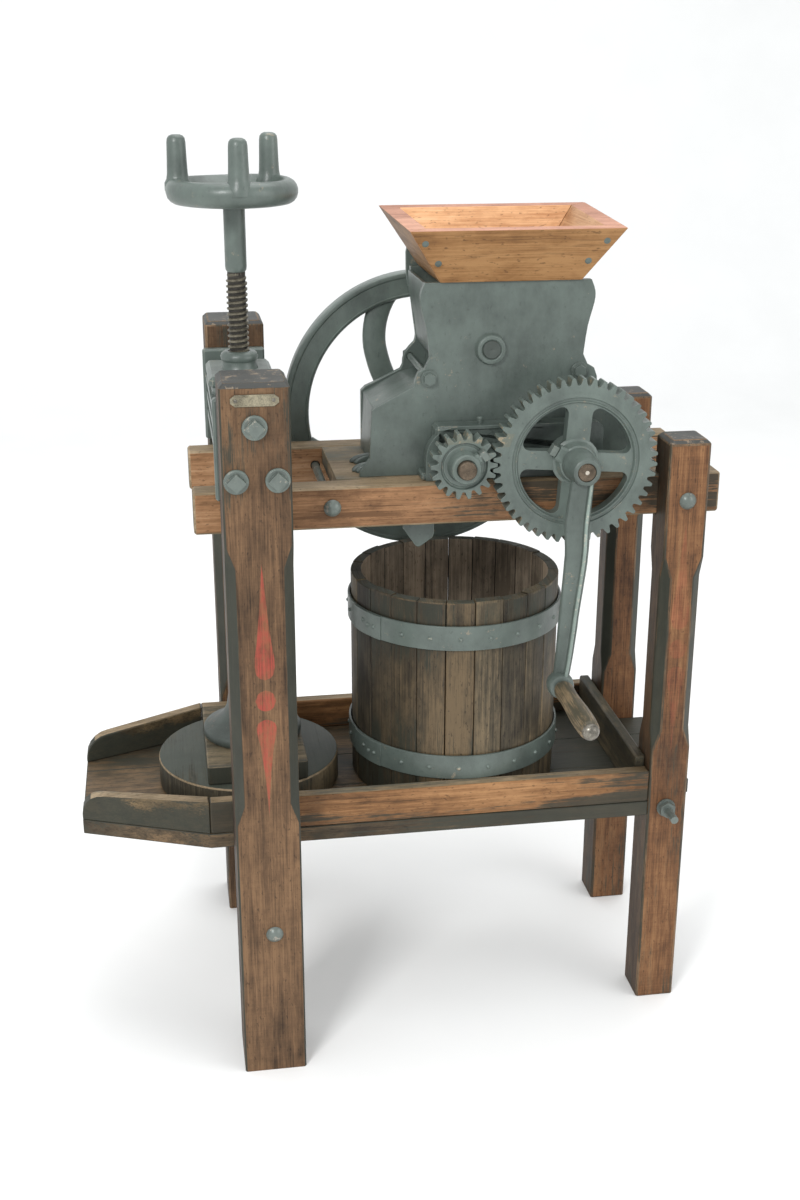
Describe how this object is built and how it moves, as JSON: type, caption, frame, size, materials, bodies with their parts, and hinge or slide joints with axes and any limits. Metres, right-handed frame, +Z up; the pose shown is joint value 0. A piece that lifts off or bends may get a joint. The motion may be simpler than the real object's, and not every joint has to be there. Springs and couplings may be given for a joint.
{
  "type": "apple cider press",
  "caption": "Wooden-framed cider press: a hand-cranked geared apple mill with hopper and flywheel over a staved tub on a tray, beside a handwheel screw with a pressing disc.",
  "frame": {"origin": "on the floor under the middle of the press, between the outermost points on each side", "axes": "+Z up; +X from the spout towards the end of the tray; the crank and gears face -Y and the flywheel faces +Y"},
  "size_m": [0.915, 0.6617, 1.28],
  "materials": {
    "frame_wood": "oiled, worn, brown with orange patches",
    "tray_wood": "dark grey-green paint worn through to brown wood",
    "stave_wood": "weathered dark staves with lighter streaks",
    "roller_wood": "dark wood",
    "grip_wood": "hand-worn",
    "hopper_wood": "newer orange-tan boards",
    "painted_iron": "grey-green paint, satin, worn to tan on edges",
    "bare_steel": "browned steel",
    "tag_brass": "dull"
  },
  "bodies": {
    "frame": {"blank_tag": "tag_brass", "casing_left_bolt": "painted_iron", "casing_right_bolt": "painted_iron", "chute_tongue": "painted_iron", "front_bearing_bracket": "painted_iron", "front_rail": "frame_wood", "front_rail_bolt": "painted_iron", "hopper_front_board": "hopper_wood", "hopper_left_board": "hopper_wood", "hopper_rear_board": "hopper_wood", "hopper_right_board": "hopper_wood", "left_front_post": "frame_wood", "left_rear_post": "frame_wood", "left_tie_rod": "painted_iron", "mill_bed_board": "tray_wood", "mill_front_plate": "painted_iron", "mill_left_cover": "painted_iron", "mill_rear_plate": "painted_iron", "mill_right_cover": "painted_iron", "rail_tie_rod": "painted_iron", "rear_bearing_bracket": "painted_iron", "rear_rail": "frame_wood", "rear_rail_bolt": "painted_iron", "right_front_post": "frame_wood", "right_rear_post": "frame_wood", "screw_yoke": "painted_iron", "spout_front_board": "tray_wood", "spout_rear_board": "tray_wood", "tray_end_board": "tray_wood", "tray_front_board": "tray_wood", "tray_front_plank": "tray_wood", "tray_middle_plank": "tray_wood", "tray_rear_board": "tray_wood", "tray_rear_plank": "tray_wood", "tray_tie_rod": "painted_iron", "yoke_front_bolt_1": "painted_iron", "yoke_front_bolt_2": "painted_iron", "yoke_front_bolt_3": "painted_iron", "yoke_rear_bolt_1": "painted_iron", "yoke_rear_bolt_2": "painted_iron", "yoke_rear_bolt_3": "painted_iron"},
    "tub": {"tub_staves": "stave_wood", "tub_lower_hoop": "painted_iron", "tub_upper_hoop": "painted_iron"},
    "follower": {"follower_disc": "tray_wood", "follower_cross_block": "tray_wood"},
    "screw_foot": {"screw_foot": "painted_iron"},
    "screw": {"press_screw": "bare_steel", "handwheel": "painted_iron"},
    "crank": {"crank_gear": "painted_iron", "crank_shaft": "bare_steel", "crank_arm": "painted_iron", "grip_pin": "bare_steel"},
    "grip": {"crank_grip": "grip_wood"},
    "drum": {"cutter_drum": "roller_wood", "drum_shaft": "bare_steel", "drum_pinion": "painted_iron", "flywheel": "painted_iron"},
    "feed_roller": {"feed_roller": "roller_wood", "feed_roller_axle": "bare_steel"}
  },
  "joints": [
    {"name": "screw_feed", "type": "slide", "parent": "frame", "child": "screw_foot", "axis": [0, 0, 1], "range_m": [0, 0.33]},
    {"name": "screw_turn", "type": "hinge", "parent": "screw_foot", "child": "screw", "pos_m": [-0.2035, 0.0448, 1.208], "axis": [0, 0, 1], "range_deg": [0, 15840]},
    {"name": "drum_turn", "type": "hinge", "parent": "frame", "child": "drum", "pos_m": [0.0835, 0.0448, 0.86], "axis": [0, 1, 0], "continuous": true},
    {"name": "crank_turn", "type": "hinge", "parent": "frame", "child": "crank", "pos_m": [0.238, 0.0448, 0.86], "axis": [0, 1, 0], "continuous": true},
    {"name": "grip_spin", "type": "hinge", "parent": "crank", "child": "grip", "pos_m": [0.2155, -0.1778, 0.5525], "axis": [0, 1, 0], "continuous": true},
    {"name": "feed_roller_spin", "type": "hinge", "parent": "frame", "child": "feed_roller", "pos_m": [0.1335, 0.0448, 1.0023], "axis": [0, 1, 0], "continuous": true},
    {"name": "tub_slide", "type": "slide", "parent": "frame", "child": "tub", "axis": [1, 0, 0], "range_m": [-0.008, 0.075]},
    {"name": "follower_slide", "type": "slide", "parent": "frame", "child": "follower", "axis": [1, 0, 0], "range_m": [-0.05, 0]}
  ],
  "couplings": [
    {"joint": "screw_turn", "follows": "screw_feed", "rad_per_m": 837.76},
    {"joint": "crank_turn", "follows": "drum_turn", "ratio": -0.375}
  ]
}
